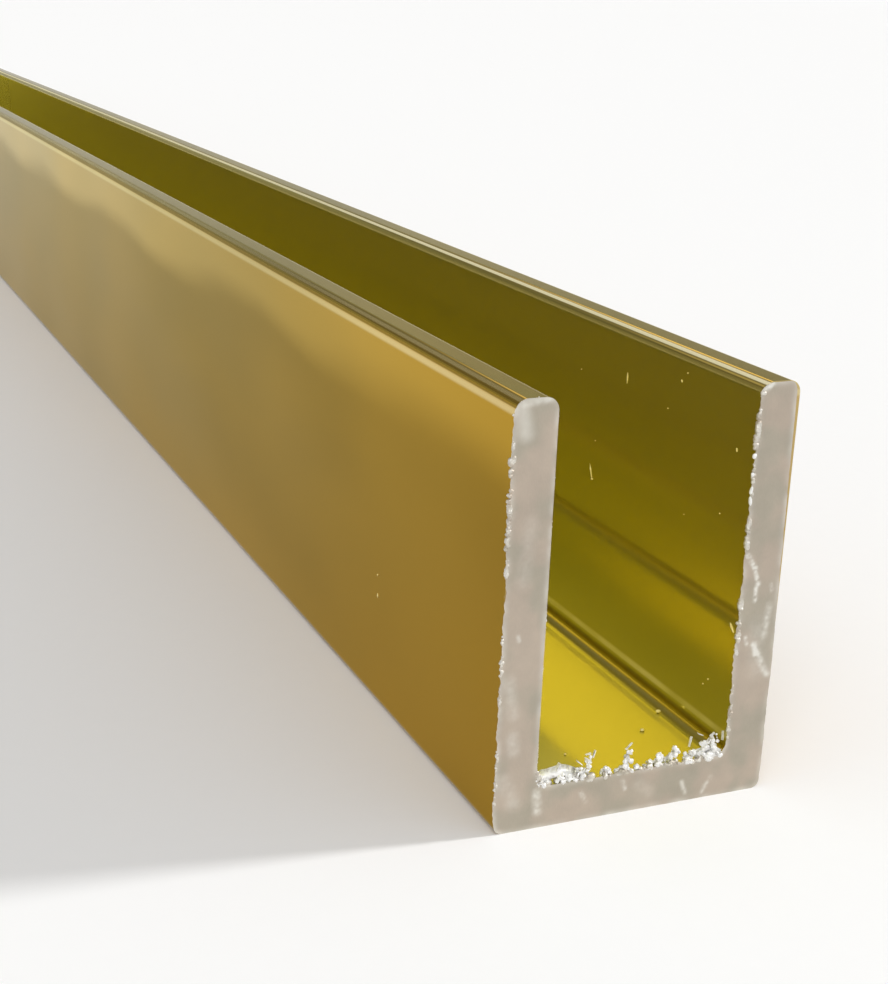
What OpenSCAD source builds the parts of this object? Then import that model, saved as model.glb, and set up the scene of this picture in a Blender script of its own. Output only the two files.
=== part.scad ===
// U-channel: a cut length of extruded, gold-anodised aluminium edge profile.
// The open side faces up and the base lies on the floor. Units are millimetres.
// X runs across the two legs, Y along the length, Z up from the underside of the base.
// The origin is the centre of the base's underside.

/* [Section] */
// Width across the outsides of the two legs
outer_width = 14; // [10:0.5:40]
// Height from the underside of the base to the leg tips
outer_height = 20; // [8:0.5:50]
// Thickness of each leg
leg_thickness = 2; // [1.6:0.1:3]
// Thickness of the base
base_thickness = 2; // [1.2:0.1:3]

/* [Edges] */
// Radius of both edges of each leg tip
tip_radius = 0.6; // [0.1:0.05:0.75]
// Radius of the two outer edges under the base
heel_radius = 0.5; // [0.1:0.05:1]
// Radius of the fillet where each leg meets the base
root_radius = 0.7; // [0.1:0.05:1.5]

/* [Length] */
// Length of the piece between its two sawn ends
cut_length = 500; // [50:10:3000]

/* [Hidden] */

// Clear width and depth of the slot that takes a panel's edge
slot_width = outer_width - 2 * leg_thickness;
slot_depth = outer_height - base_thickness;

// How far a cut runs past the metal that it removes
overcut = 1;
// Sides of a full circle, enough for the small edge radii
$fn = 64;

// The three-sided web between a right-angled corner at the origin and an arc of radius r.
// It fills a fillet in an inner corner. Grown by margin behind the corner, it trims an outer one.
module corner_web(r, margin = 0) {
    difference() {
        translate([-margin, -margin]) square(r + margin);
        translate([r, r]) circle(r);
    }
}

// Draws its children, made for the right-hand leg, and again for the left-hand one.
module both_legs() {
    for (side = [0, 1]) mirror([side, 0]) children();
}

// Square-edged U: the outer block less its open slot.
module plain_u() {
    difference() {
        translate([-outer_width / 2, 0]) square([outer_width, outer_height]);
        translate([-slot_width / 2, base_thickness]) square([slot_width, slot_depth + overcut]);
    }
}

// Fillets where the legs rise from the base.
module root_fillets() {
    both_legs()
        translate([slot_width / 2, base_thickness]) mirror([1, 0]) corner_web(root_radius);
}

// Metal that the die leaves out at the outer edges under the base.
module heel_trims() {
    both_legs()
        translate([outer_width / 2, 0]) mirror([1, 0]) corner_web(heel_radius, overcut);
}

// Metal that the die leaves out at the outer and the inner edge of each leg tip.
module tip_trims() {
    both_legs() {
        translate([outer_width / 2, outer_height])
            rotate(180) corner_web(tip_radius, overcut);
        translate([slot_width / 2, outer_height])
            mirror([0, 1]) corner_web(tip_radius, overcut);
    }
}

// The section as it leaves the die.
module section() {
    difference() {
        union() {
            plain_u();
            root_fillets();
        }
        heel_trims();
        tip_trims();
    }
}

// The section drawn along Y, half of the length to each side of the origin, both ends square.
module u_channel() {
    color([0.72, 0.60, 0.27])
        translate([0, cut_length / 2, 0]) rotate([90, 0, 0]) linear_extrude(cut_length) section();
}

u_channel();
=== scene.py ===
"""Looks of a gold-anodised aluminium U-channel that a saw has just cut to length.

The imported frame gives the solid. This script dresses it: the bright dyed skin, the two bare sawn ends
with their ragged lips, and the burr, crumbs, flakes and one curl that the saw left behind. Lengths are in
metres where nothing else is said.
"""

import logging
import math
from dataclasses import dataclass
from enum import IntEnum
from typing import Mapping, Sequence, Union

import bpy
import numpy as np
from mathutils import Matrix, Vector, geometry, kdtree, noise


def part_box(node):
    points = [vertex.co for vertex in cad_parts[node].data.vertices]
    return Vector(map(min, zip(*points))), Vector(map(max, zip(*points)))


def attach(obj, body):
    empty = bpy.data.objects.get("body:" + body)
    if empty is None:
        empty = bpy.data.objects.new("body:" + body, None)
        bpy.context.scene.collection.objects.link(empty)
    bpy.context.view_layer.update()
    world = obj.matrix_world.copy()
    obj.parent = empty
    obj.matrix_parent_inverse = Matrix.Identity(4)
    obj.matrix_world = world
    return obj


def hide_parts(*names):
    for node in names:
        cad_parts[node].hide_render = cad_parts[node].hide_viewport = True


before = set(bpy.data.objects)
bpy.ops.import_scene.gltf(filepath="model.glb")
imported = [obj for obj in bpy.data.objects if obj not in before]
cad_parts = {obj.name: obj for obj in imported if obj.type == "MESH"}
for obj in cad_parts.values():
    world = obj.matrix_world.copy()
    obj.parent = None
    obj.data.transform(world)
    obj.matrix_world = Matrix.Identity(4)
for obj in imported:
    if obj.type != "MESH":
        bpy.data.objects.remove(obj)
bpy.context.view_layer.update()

MM = 0.001
BODY = "root"
NODE = "u_channel"
LOG = logging.getLogger("channel")

Pair = tuple[float, float]
Triple = tuple[float, float, float]
Colour = Triple
Value = Union["Wire", float, int, bool, str, Sequence, bpy.types.ID]


class Wire:
    """One output of a node. Arithmetic on it adds Math nodes to the tree that it belongs to."""

    def __init__(self, graph: "Graph", socket: bpy.types.NodeSocket) -> None:
        """Keeps the socket, and the graph that new nodes go into."""
        self.graph = graph
        self.socket = socket

    def maths(self, operation: str, *values: Value) -> "Wire":
        """Adds one Math node.

        Args:
            operation: The node's operation, such as ADD.
            values: What goes into its sockets, in order.

        Returns:
            The node's result.
        """
        return self.graph.node("ShaderNodeMath", {"operation": operation}, dict(enumerate(values)))

    def __add__(self, other: Value) -> "Wire":
        """This value plus another."""
        return self.maths("ADD", self, other)

    def __radd__(self, other: Value) -> "Wire":
        """Another value plus this one."""
        return self.maths("ADD", other, self)

    def __sub__(self, other: Value) -> "Wire":
        """This value less another."""
        return self.maths("SUBTRACT", self, other)

    def __rsub__(self, other: Value) -> "Wire":
        """Another value less this one."""
        return self.maths("SUBTRACT", other, self)

    def __mul__(self, other: Value) -> "Wire":
        """This value times another."""
        return self.maths("MULTIPLY", self, other)

    def __rmul__(self, other: Value) -> "Wire":
        """Another value times this one."""
        return self.maths("MULTIPLY", other, self)

    def __neg__(self) -> "Wire":
        """This value with its sign changed."""
        return self.maths("MULTIPLY", self, -1.0)

    def __abs__(self) -> "Wire":
        """This value without its sign."""
        return self.maths("ABSOLUTE", self)


class Graph:
    """A node tree that is being built."""

    def __init__(self, tree: bpy.types.NodeTree) -> None:
        """Keeps the tree that the nodes go into."""
        self.tree = tree

    def node(self, kind: str, settings: Mapping[str, object] | None = None,
             sockets: Mapping[str | int, Value] | None = None, output: str | int = 0) -> Wire:
        """Adds one node of any kind.

        Args:
            kind: The node's type name.
            settings: Its own settings, which are set first; items adds entries to a switch.
            sockets: The values or links of its sockets, by name or by place.
            output: The output that is wanted, by name or by place.

        Returns:
            That output.
        """
        made = self.tree.nodes.new(kind)
        for name, value in (settings or {}).items():
            if name == "items":
                for _ in range(int(value) - len(made.index_switch_items)):
                    made.index_switch_items.new()
            else:
                setattr(made, name, value)
        for name, value in (sockets or {}).items():
            self.feed(made.inputs[name], value)
        return Wire(self, made.outputs[output])

    def feed(self, socket: bpy.types.NodeSocket, value: Value) -> None:
        """Links or sets one socket.

        Args:
            socket: The input to feed.
            value: A wire, a list of wires for a socket that takes several, or a constant.
        """
        if isinstance(value, Wire):
            self.tree.links.new(value.socket, socket)
        elif isinstance(value, list):
            for wire in value:
                self.tree.links.new(wire.socket, socket)
        elif socket.type == "RGBA" and len(value) == 3:
            socket.default_value = (*value, 1.0)
        else:
            socket.default_value = value

    def ramp(self, value: Wire, low: float, high: float, to_low: float = 0.0, to_high: float = 1.0) -> Wire:
        """Carries a value smoothly from one range to another and holds it at the ends.

        Args:
            value: The value to carry over.
            low: Where the ramp starts.
            high: Where it ends.
            to_low: The result up to low.
            to_high: The result from high on.

        Returns:
            The result.
        """
        return self.node("ShaderNodeMapRange", {"interpolation_type": "SMOOTHSTEP"},
                         {"Value": value, "From Min": low, "From Max": high,
                          "To Min": to_low, "To Max": to_high})

    def fall(self, value: Wire, low: float, high: float) -> Wire:
        """A mask that is 1 up to low and falls to 0 at high."""
        return self.ramp(value, low, high, 1.0, 0.0)

    def band(self, value: Wire, rise: Pair, fall: Pair) -> Wire:
        """A mask that rises from 0 to 1 and later falls again.

        Args:
            value: The value to follow.
            rise: Where the mask starts to rise and where it is full.
            fall: Where it starts to fall and where it is gone.

        Returns:
            The mask.
        """
        return self.ramp(value, *rise) * self.fall(value, *fall)

    def blend(self, factor: Value, first: Value, second: Value) -> Wire:
        """Mixes two colours.

        Args:
            factor: 0 for the first colour, 1 for the second.
            first: A colour.
            second: Another colour.

        Returns:
            The mixed colour.
        """
        return self.node("ShaderNodeMix", {"data_type": "RGBA"}, {0: factor, 6: first, 7: second}, 2)

    def scaled(self, vector: Value, level: Value) -> Wire:
        """A colour or a vector times a number.

        Args:
            vector: The colour or vector.
            level: The number.

        Returns:
            The product.
        """
        return self.node("ShaderNodeVectorMath", {"operation": "SCALE"}, {0: vector, "Scale": level})

    def noise(self, coords: Value, grains: Triple | float, detail: float = 2.0, rough: float = 0.5) -> Wire:
        """Noise between 0 and 1 whose grain may be longer one way than another.

        Args:
            coords: The place on the surface.
            grains: How many grains there are to a metre, along X, Y and Z or every way.
            detail: How many finer layers are added.
            rough: How strong those layers are.

        Returns:
            The noise.
        """
        all_ways = grains if isinstance(grains, tuple) else (grains,) * 3
        place = self.node("ShaderNodeVectorMath", {"operation": "MULTIPLY"}, {0: coords, 1: all_ways})
        return self.node("ShaderNodeTexNoise", None,
                         {"Vector": place, "Scale": 1.0, "Detail": detail, "Roughness": rough}, "Fac")


class FinishGraph(Graph):
    """The nodes of one material around its Principled shader."""

    def __init__(self, name: str) -> None:
        """Makes a new material of that name."""
        self.material = bpy.data.materials.new(name)
        self.material.use_nodes = True
        super().__init__(self.material.node_tree)
        self.shader = next(n for n in self.tree.nodes if n.type == "BSDF_PRINCIPLED")
        self.place = self.node("ShaderNodeTexCoord", None, None, "Object")

    def axis(self, name: str) -> Wire:
        """The place on the surface along X, Y or Z, in metres."""
        return self.node("ShaderNodeSeparateXYZ", None, {"Vector": self.place}, name)

    def attribute(self, name: str) -> Wire:
        """A value that the mesh carries at each of its points."""
        return self.node("ShaderNodeAttribute", {"attribute_name": name}, None, "Fac")

    def relief(self, height: Wire, depth: float) -> Wire:
        """Turns a height into a bent normal.

        Args:
            height: The height, from 0 to 1.
            depth: What a height of 1 measures, in metres.

        Returns:
            The normal.
        """
        return self.node("ShaderNodeBump", None, {"Strength": 1.0, "Distance": depth, "Height": height})

    def dress(self, sockets: Mapping[str, Value]) -> bpy.types.Material:
        """Feeds the shader.

        Args:
            sockets: The values of its sockets, by their names.

        Returns:
            The finished material.
        """
        for name, value in sockets.items():
            self.feed(self.shader.inputs[name], value)
        return self.material

    def veil(self, share: Wire, sockets: Mapping[str, Value]) -> None:
        """Mixes a second shader over the first, for a film that scatters part of the light.

        Args:
            share: How much of the light goes to the second shader, from 0 to 1.
            sockets: The values of that shader's sockets, by their names.
        """
        film = self.node("ShaderNodeBsdfPrincipled", None, sockets)
        mirror = Wire(self, self.shader.outputs[0])
        mixed = self.node("ShaderNodeMixShader", None, {0: share, 1: mirror, 2: film})
        end = next(n for n in self.tree.nodes if n.type == "OUTPUT_MATERIAL")
        self.feed(end.inputs["Surface"], mixed)


@dataclass(frozen=True)
class SkinZones:
    """Where the zones of the section's skin begin and end.

    A range in a leg counts in its thickness, outward from the slot, and one in the base in its thickness, up
    from the underside. A range at a root counts in its radius, up from the slot's floor or in from the wall,
    and one at a tip in its radius, up from where the tip starts to round.
    """

    slot_in_leg: Pair = (0.1, 0.3)
    outer_half: Pair = (0.45, 0.55)
    slot_in_base: Pair = (0.4, 0.6)
    floor_height: Pair = (0.3, 1.0)
    root_height: Pair = (0.5, 0.9)
    root_width: Pair = (0.65, 1.05)
    root_line: tuple[Pair, Pair] = ((1.0, 1.2), (1.4, 1.7))
    shoulder: tuple[Pair, Pair] = ((-0.35, -0.05), (0.15, 0.45))
    hollow: tuple[Pair, Pair] = ((0.05, 0.3), (0.5, 0.7))
    crest: tuple[Pair, Pair] = ((0.71, 0.79), (0.9, 0.96))
    wall_depth: Pair = (0.2 * MM, 0.05 * MM)
    face_depth: Pair = (0.1 * MM, 0.01 * MM)
    end_depth: Pair = (0.1 * MM, 0.05 * MM)

    def masks(self, g: FinishGraph, section: "Section") -> dict[str, Wire]:
        """Tells the zones apart by the place on the surface.

        Args:
            g: The finish's nodes.
            section: The section.

        Returns:
            A mask from 0 to 1 for each zone, by its name.
        """
        x, height = g.axis("X"), g.axis("Z")
        across, along = abs(x), abs(g.axis("Y"))
        slot_half, root, tip = section.slot_half, section.root_radius, section.tip_radius
        in_leg = (across - slot_half) * (1 / section.leg)
        from_wall = (slot_half - across) * (1 / root)
        above_floor = (height - section.base) * (1 / root)
        rounding = (height - (section.height - tip)) * (1 / tip)
        in_slot = g.fall(in_leg, *self.slot_in_leg) * g.ramp(height * (1 / section.base), *self.slot_in_base)
        outer_half = g.ramp(in_leg, *self.outer_half)
        at_right_wall = g.ramp(x, *(slot_half - depth for depth in self.wall_depth))
        crest = g.band(rounding, *self.crest)
        return {
            "slot": in_slot,
            "floor": in_slot * g.fall(above_floor, *self.floor_height),
            "root": in_slot * g.fall(from_wall, *self.root_width) * g.fall(above_floor, *self.root_height),
            "root_line": in_slot * at_right_wall * g.band(above_floor, *self.root_line),
            "tip": g.ramp(rounding, 0.0, 1.0),
            "shoulder": outer_half * g.band(rounding, *self.shoulder),
            "hollow": (1 - outer_half) * g.band(rounding, *self.hollow),
            "crest": crest,
            "right_inner_crest": crest * g.ramp(x, -slot_half, slot_half) * (1 - outer_half),
            "face": g.ramp(across, *(section.width / 2 - depth for depth in self.face_depth)),
            "end": g.ramp(along, *(section.length / 2 - depth for depth in self.end_depth)),
        }


@dataclass(frozen=True)
class GoldAnodised:
    """Bright-dipped aluminium under a gold-dyed anodic film, drawn through a die along Y.

    The outer and tip colours are the film's gold darkened as painted reflection, and the root and hollow
    colours and the darker slot floor are painted shade. A pale colour marks film worn through at the sawn
    ends and is also laid as painted highlight lines on the crests and above the right root and as a painted
    light band on the outer shoulder.
    Matt is what something adds to the roughness.
    """

    zones: SkinZones = SkinZones()
    # The outer skin's colour is the film's gold, darkened and browned by a painted reflection of dark, warm
    # surroundings.
    outside: Colour = (0.405, 0.226, 0.014)
    slot: Colour = (0.866, 0.816, 0.31)
    # The root's colour is painted shade: the gold is darker and duller in the corner where the slot's floor
    # meets the walls.
    root: Colour = (0.66, 0.52, 0.1)
    # The tips' colour is the film's gold darkened as a painted reflection of dark surroundings.
    tip: Colour = (0.45, 0.3, 0.05)
    # A pale colour for film worn through at the sawn ends, also laid as painted highlight lines on the crests
    # and above the right root, and as a painted light band on the outer shoulder.
    rubbed: Colour = (1.0, 0.92, 0.6)
    # Painted shade on the lower half of the tips' inner rounding, laid in the hollow zone.
    shaded: Colour = (0.34, 0.26, 0.06)
    grazing: Colour = (0.93, 0.92, 0.68)
    metallic: float = 0.985
    polish: float = 0.05
    slot_polish: float = 0.07
    root_matt: float = 0.12
    smudge_matt: float = 0.04
    wear_matt: float = 0.4
    haze: float = 0.26
    haze_roughness: float = 0.28
    # How much darker the slot's floor is laid, as painted shade.
    floor_fade: float = 0.2
    cloud_grains: Triple = (60.0, 28.0, 60.0)
    cloud_range: Pair = (0.3, 0.7)
    cloud_tone: float = 0.15
    line_grains: Triple = (9000.0, 4.0, 9000.0)
    line_tone: float = 0.06
    smudge_grains: Triple = (300.0, 120.0, 300.0)
    smudge_range: Pair = (0.3, 0.6)
    wave_grains: Triple = (0.0, 26.0, 70.0)
    wave_depth: float = 0.36 * MM
    # How strongly the painted light band on the shoulder and the painted highlight lines are laid on; the
    # end's share is real worn film.
    shoulder_wear: float = 0.32
    crest_wear: float = 0.25
    inner_crest_wear: float = 0.7
    root_line_wear: Pair = (0.18, 0.45)
    end_wear: float = 0.25
    bared: float = 0.8

    def colour(self, g: FinishGraph, zone: Mapping[str, Wire], painted_highlight: Wire) -> Wire:
        """Lays the colours of the zones over one another.

        Args:
            g: The finish's nodes.
            zone: The zones' masks.
            painted_highlight: How much of the pale colour is laid on as painted highlight, from 0 to 1.

        Returns:
            The colour.
        """
        # The outer colour carries a painted reflection and the root's a painted shade; over them lie the
        # tips' painted reflection, the shoulder's painted light band, the hollow's painted shade, the painted
        # highlight lines, and the worn film at the ends.
        colour = g.blend(zone["slot"], self.outside, g.blend(zone["root"], self.slot, self.root))
        layers = [
            (zone["tip"], self.tip),
            (self.shoulder_wear * zone["shoulder"], self.rubbed),
            (zone["hollow"], self.shaded),
            (painted_highlight, self.rubbed),
            (self.end_wear * zone["end"], self.rubbed),
        ]
        for cover, layer in layers:
            colour = g.blend(cover, colour, layer)
        return colour

    def material(self, section: "Section") -> bpy.types.Material:
        """Builds the finish.

        Args:
            section: The section that it lies on, which tells the slot from the rest of the skin.

        Returns:
            The material.
        """
        g = FinishGraph("gold_anodised")
        zone = self.zones.masks(g, section)
        lines = g.noise(g.place, self.line_grains)
        cloud = g.noise(g.place, self.cloud_grains)
        smudge = g.noise(g.place, self.smudge_grains, 3.0, 0.6)
        wave = g.noise(g.place, self.wave_grains, 1.0)
        # Painted highlight lines on the crests and just above the right root, uneven along the root.
        painted_highlight = (self.crest_wear * zone["crest"] + self.inner_crest_wear * zone["right_inner_crest"]
                + zone["root_line"] * g.ramp(smudge, *self.smudge_range, *self.root_line_wear))
        tone = g.ramp(cloud, *self.cloud_range, -self.cloud_tone, self.cloud_tone)
        tone = tone + self.line_tone * (lines - 0.5)
        # The outer skin's tone varies at random; the slot's floor is darkened as painted shade.
        level = 1 + tone * (1 - zone["slot"]) - self.floor_fade * zone["floor"]
        polish = g.ramp(zone["slot"], 0.0, 1.0, self.polish, self.slot_polish)
        matt = self.smudge_matt * (smudge - 0.5) + self.wear_matt * painted_highlight + self.root_matt * zone["root"]
        plain = g.node("ShaderNodeNewGeometry", None, None, "Normal")
        looks = {
            "Base Color": g.scaled(self.colour(g, zone, painted_highlight), level),
            # Where the painted highlight is laid, the metal is made less metallic so that the pale colour
            # shows.
            "Metallic": self.metallic - self.bared * painted_highlight,
            "Normal": g.blend(zone["face"], plain, g.relief(wave, self.wave_depth)),
            "Specular Tint": self.grazing,
        }
        g.veil(self.haze * zone["slot"], {**looks, "Roughness": self.haze_roughness})
        return g.dress({**looks, "Roughness": polish + matt})


@dataclass(frozen=True)
class SawnAluminium:
    """Bare aluminium as a fine saw blade leaves it: matt, mottled, with smears where metal was dragged."""

    metal: Colour = (0.54, 0.46, 0.378)
    cool: Colour = (0.47, 0.424, 0.345)
    smear: Colour = (0.86, 0.84, 0.77)
    metallic: float = 0.75
    roughness: float = 0.58
    mottle_matt: float = 0.12
    smear_polish: float = 0.2
    plain_level: float = 0.74
    mottle_grains: float = 900.0
    mottle_level: float = 0.3
    fine_grains: Triple = (14000.0, 14000.0, 5000.0)
    fine_level: float = 0.08
    fine_depth: float = 0.004 * MM
    # A broad soft pattern that brightens the sawn face unevenly, as painted light falling off across it.
    broad_grains: float = 180.0
    broad_level: float = 0.16
    hue_grains: float = 420.0
    hue_range: Pair = (0.38, 0.62)

    def material(self) -> bpy.types.Material:
        """Builds the finish."""
        g = FinishGraph("sawn_aluminium")
        mottle = g.noise(g.place, self.mottle_grains, 3.0)
        fine = g.noise(g.place, self.fine_grains)
        # Painted light falloff across the sawn face.
        painted_falloff = g.noise(g.place, self.broad_grains, 1.0)
        hue = g.ramp(g.noise(g.place, self.hue_grains), *self.hue_range)
        smear = g.attribute("smear")
        level = (self.plain_level + self.mottle_level * mottle + self.fine_level * fine
                 + self.broad_level * painted_falloff)
        plain = g.scaled(g.blend(hue, self.metal, self.cool), level)
        return g.dress({
            "Base Color": g.blend(smear, plain, self.smear),
            "Metallic": self.metallic,
            "Roughness": self.roughness + self.mottle_matt * (mottle - 0.5) - self.smear_polish * smear,
            "Normal": g.relief(fine, self.fine_depth),
        })


@dataclass(frozen=True)
class BrightChip:
    """Freshly torn aluminium, almost white where it catches the light, with grey patches of painted shade."""

    name: str = "bright_chip"
    metal: Colour = (0.97, 0.965, 0.94)
    # Grey laid in patches as painted shade between the chips' folds.
    shaded: Colour = (0.68, 0.65, 0.61)
    metallic: float = 0.25
    roughness: float = 0.36
    plain_level: float = 0.88
    tear_grains: float = 9000.0
    tear_level: float = 0.16
    tear_matt: float = 0.2
    tear_depth: float = 0.02 * MM
    fold_grains: float = 3200.0
    fold_range: Pair = (0.33, 0.47)

    def material(self) -> bpy.types.Material:
        """Builds the finish."""
        g = FinishGraph(self.name)
        tear = g.noise(g.place, self.tear_grains)
        # Patches of painted shade, laid at random.
        painted_fold_shade = g.ramp(g.noise(g.place, self.fold_grains), *self.fold_range)
        level = self.plain_level + self.tear_level * tear
        return g.dress({
            "Base Color": g.scaled(g.blend(painted_fold_shade, self.shaded, self.metal), level),
            "Metallic": self.metallic,
            "Roughness": self.roughness + self.tear_matt * (tear - 0.5),
            "Normal": g.relief(tear, self.tear_depth),
        })


@dataclass(frozen=True)
class StudioPaper:
    """Matt pale paper for the floor, which grows darker where it sweeps up behind."""

    shade: Colour = (0.94, 0.94, 0.935)
    high_shade: Colour = (0.46, 0.46, 0.46)
    fade: Pair = (0.15, 1.3)
    roughness: float = 0.95
    gloss: float = 0.1
    fibre_grains: float = 900.0
    fibre_levels: Pair = (0.995, 0.01)

    def material(self) -> bpy.types.Material:
        """Builds the finish."""
        g = FinishGraph("studio_paper")
        plain_level, fibre_level = self.fibre_levels
        level = plain_level + fibre_level * g.noise(g.place, self.fibre_grains)
        shade = g.blend(g.ramp(g.axis("Z"), *self.fade), self.shade, self.high_shade)
        return g.dress({
            "Base Color": g.scaled(shade, level),
            "Roughness": self.roughness,
            "Specular IOR Level": self.gloss,
        })


class ShapeTree(Graph):
    """A Geometry Nodes tree with a named input for each size of what it makes."""

    def __init__(self, name: str) -> None:
        """Makes an empty tree with one geometry in and one out."""
        tree = bpy.data.node_groups.new(name, "GeometryNodeTree")
        for side in ("INPUT", "OUTPUT"):
            tree.interface.new_socket("Geometry", in_out=side, socket_type="NodeSocketGeometry")
        super().__init__(tree)
        self.inlet = tree.nodes.new("NodeGroupInput")
        self.outlet = tree.nodes.new("NodeGroupOutput")
        self.values: dict[str, object] = {}

    def given(self) -> Wire:
        """The geometry that the tree starts from."""
        return Wire(self, self.inlet.outputs[0])

    def size(self, name: str, value: float | int | bpy.types.Material) -> Wire:
        """Adds a named input and its value.

        Args:
            name: What the input is called.
            value: What it is set to when the tree runs.

        Returns:
            The input.
        """
        kinds = {float: "NodeSocketFloat", int: "NodeSocketInt"}
        socket_type = kinds.get(type(value), "NodeSocketMaterial")
        item = self.tree.interface.new_socket(name, in_out="INPUT", socket_type=socket_type)
        self.values[item.identifier] = value
        return Wire(self, next(s for s in self.inlet.outputs if s.identifier == item.identifier))

    def pick(self, kind: str, choices: Sequence[Value]) -> Wire:
        """Gives each point the choice of its own index.

        Args:
            kind: VECTOR or FLOAT.
            choices: One value for each index.

        Returns:
            The chosen value.
        """
        sockets = {str(i): choice for i, choice in enumerate(choices)}
        sockets["Index"] = self.node("GeometryNodeInputIndex")
        return self.node("GeometryNodeIndexSwitch", {"data_type": kind, "items": len(choices)}, sockets)

    def vector(self, x: Value = 0.0, y: Value = 0.0, z: Value = 0.0) -> Wire:
        """A vector from three values."""
        return self.node("ShaderNodeCombineXYZ", None, {"X": x, "Y": y, "Z": z})

    def carried(self, name: str, kind: str = "FLOAT") -> Wire:
        """An attribute of the starting mesh."""
        return self.node("GeometryNodeInputNamedAttribute", {"data_type": kind}, {"Name": name})

    def close(self, shape: Wire, finish: bpy.types.Material) -> None:
        """Ends the tree with real geometry in one finish.

        Args:
            shape: The geometry.
            finish: Its material.
        """
        real = self.node("GeometryNodeRealizeInstances", None, {"Geometry": shape})
        dressed = self.node("GeometryNodeSetMaterial", None,
                            {"Geometry": real, "Material": self.size("Finish", finish)})
        self.feed(self.outlet.inputs[0], dressed)

    def grow(self, name: str, start: bpy.types.Mesh, even_normals: bool = False) -> bpy.types.Object:
        """Runs the tree once and keeps the result as a plain mesh.

        Args:
            name: The piece's name.
            start: The mesh that the tree starts from.
            even_normals: Whether large faces keep their own normals against small neighbours.

        Returns:
            The piece.
        """
        piece = new_piece(name, start)
        modifier = piece.modifiers.new("shape", "NODES")
        modifier.node_group = self.tree
        for identifier, value in self.values.items():
            modifier[identifier] = value
        if even_normals:
            piece.modifiers.new("normals", "WEIGHTED_NORMAL").keep_sharp = True
        bpy.context.view_layer.update()
        depsgraph = bpy.context.evaluated_depsgraph_get()
        grown = bpy.data.meshes.new_from_object(piece.evaluated_get(depsgraph), depsgraph=depsgraph)
        piece.modifiers.clear()
        piece.data = grown
        grown.name = name
        bpy.data.meshes.remove(start)
        return piece


def new_piece(name: str, mesh: bpy.types.Mesh) -> bpy.types.Object:
    """Puts a mesh into the scene as an object at the origin.

    Args:
        name: The object's name.
        mesh: Its mesh.

    Returns:
        The object.
    """
    piece = bpy.data.objects.new(name, mesh)
    bpy.context.scene.collection.objects.link(piece)
    return piece


def new_mesh(name: str, points: Sequence, edges: Sequence = (), faces: Sequence = ()) -> bpy.types.Mesh:
    """Makes a mesh from plain lists.

    Args:
        name: The mesh's name.
        points: Its corners.
        edges: Its loose edges.
        faces: Its faces.

    Returns:
        The mesh.
    """
    mesh = bpy.data.meshes.new(name)
    mesh.from_pydata([tuple(p) for p in points], list(edges), list(faces))
    mesh.update()
    return mesh


def carry(mesh: bpy.types.Mesh, name: str, kind: str, values: Sequence) -> None:
    """Stores one value for each point of a mesh.

    Args:
        mesh: The mesh.
        name: The attribute's name.
        kind: FLOAT or FLOAT_VECTOR.
        values: The values, in the points' order.
    """
    attribute = mesh.attributes.new(name, kind, "POINT")
    key = "vector" if kind == "FLOAT_VECTOR" else "value"
    attribute.data.foreach_set(key, np.asarray(values, np.float32).ravel())


class Wall(IntEnum):
    """The sides of the section, in order round its outline."""

    UNDERSIDE = 0
    RIGHT_OUTSIDE = 1
    RIGHT_TIP = 2
    RIGHT_INSIDE = 3
    SLOT_FLOOR = 4
    LEFT_INSIDE = 5
    LEFT_TIP = 6
    LEFT_OUTSIDE = 7


class End(IntEnum):
    """The two sawn ends, by the way that they face along Y."""

    NEAR = -1
    FAR = 1


@dataclass(frozen=True)
class Section:
    """The channel's section: X across the legs, Z up from the underside of the base."""

    width: float
    height: float
    length: float
    leg: float = 2.0 * MM
    base: float = 2.0 * MM
    tip_radius: float = 0.6 * MM
    heel_radius: float = 0.5 * MM
    root_radius: float = 0.7 * MM

    @classmethod
    def of_node(cls, node: str) -> "Section":
        """Takes the outer sizes from a node of the frame."""
        low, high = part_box(node)
        return cls(width=high.x - low.x, height=high.z - low.z, length=high.y - low.y)

    @property
    def slot_half(self) -> float:
        """Half of the slot's clear width."""
        return self.width / 2 - self.leg

    def corners(self) -> list[tuple[Vector, float, int]]:
        """The sharp corners in order, each with its radius and 1 if it stands out or -1 if it goes in."""
        half, slot = self.width / 2, self.slot_half
        heel, tip, root = (self.heel_radius, 1), (self.tip_radius, 1), (self.root_radius, -1)
        return [
            (Vector((-half, 0)), *heel),
            (Vector((half, 0)), *heel),
            (Vector((half, self.height)), *tip),
            (Vector((slot, self.height)), *tip),
            (Vector((slot, self.base)), *root),
            (Vector((-slot, self.base)), *root),
            (Vector((-slot, self.height)), *tip),
            (Vector((-half, self.height)), *tip),
        ]

    def outline(self, step: float) -> tuple[np.ndarray, np.ndarray, np.ndarray]:
        """Walks round the rounded outline.

        Args:
            step: The distance between two points, at most.

        Returns:
            The points, the directions that point out of the metal, and the wall that each is on.
        """
        points, outwards, walls = [], [], []
        corners = self.corners()
        for i, (corner, radius, bulge) in enumerate(corners):
            back = (corners[i - 1][0] - corner).normalized()
            ahead_corner, ahead_radius, _ = corners[(i + 1) % len(corners)]
            ahead = (ahead_corner - corner).normalized()
            centre = corner + radius * (back + ahead)
            turns = math.ceil(radius * math.pi / 2 / step)
            for k in range(turns):
                angle = math.pi / 2 * k / turns
                spoke = -math.cos(angle) * ahead - math.sin(angle) * back
                points.append(centre + radius * spoke)
                outwards.append(bulge * spoke)
                walls.append((i - (k < turns / 2)) % len(corners))
            start = corner + radius * ahead
            stop = ahead_corner - ahead_radius * ahead
            steps = math.ceil((stop - start).length / step)
            for k in range(steps):
                points.append(start.lerp(stop, k / steps))
                outwards.append(bulge * -back)
                walls.append(i)
        return np.array(points), np.array(outwards), np.array(walls)


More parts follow.
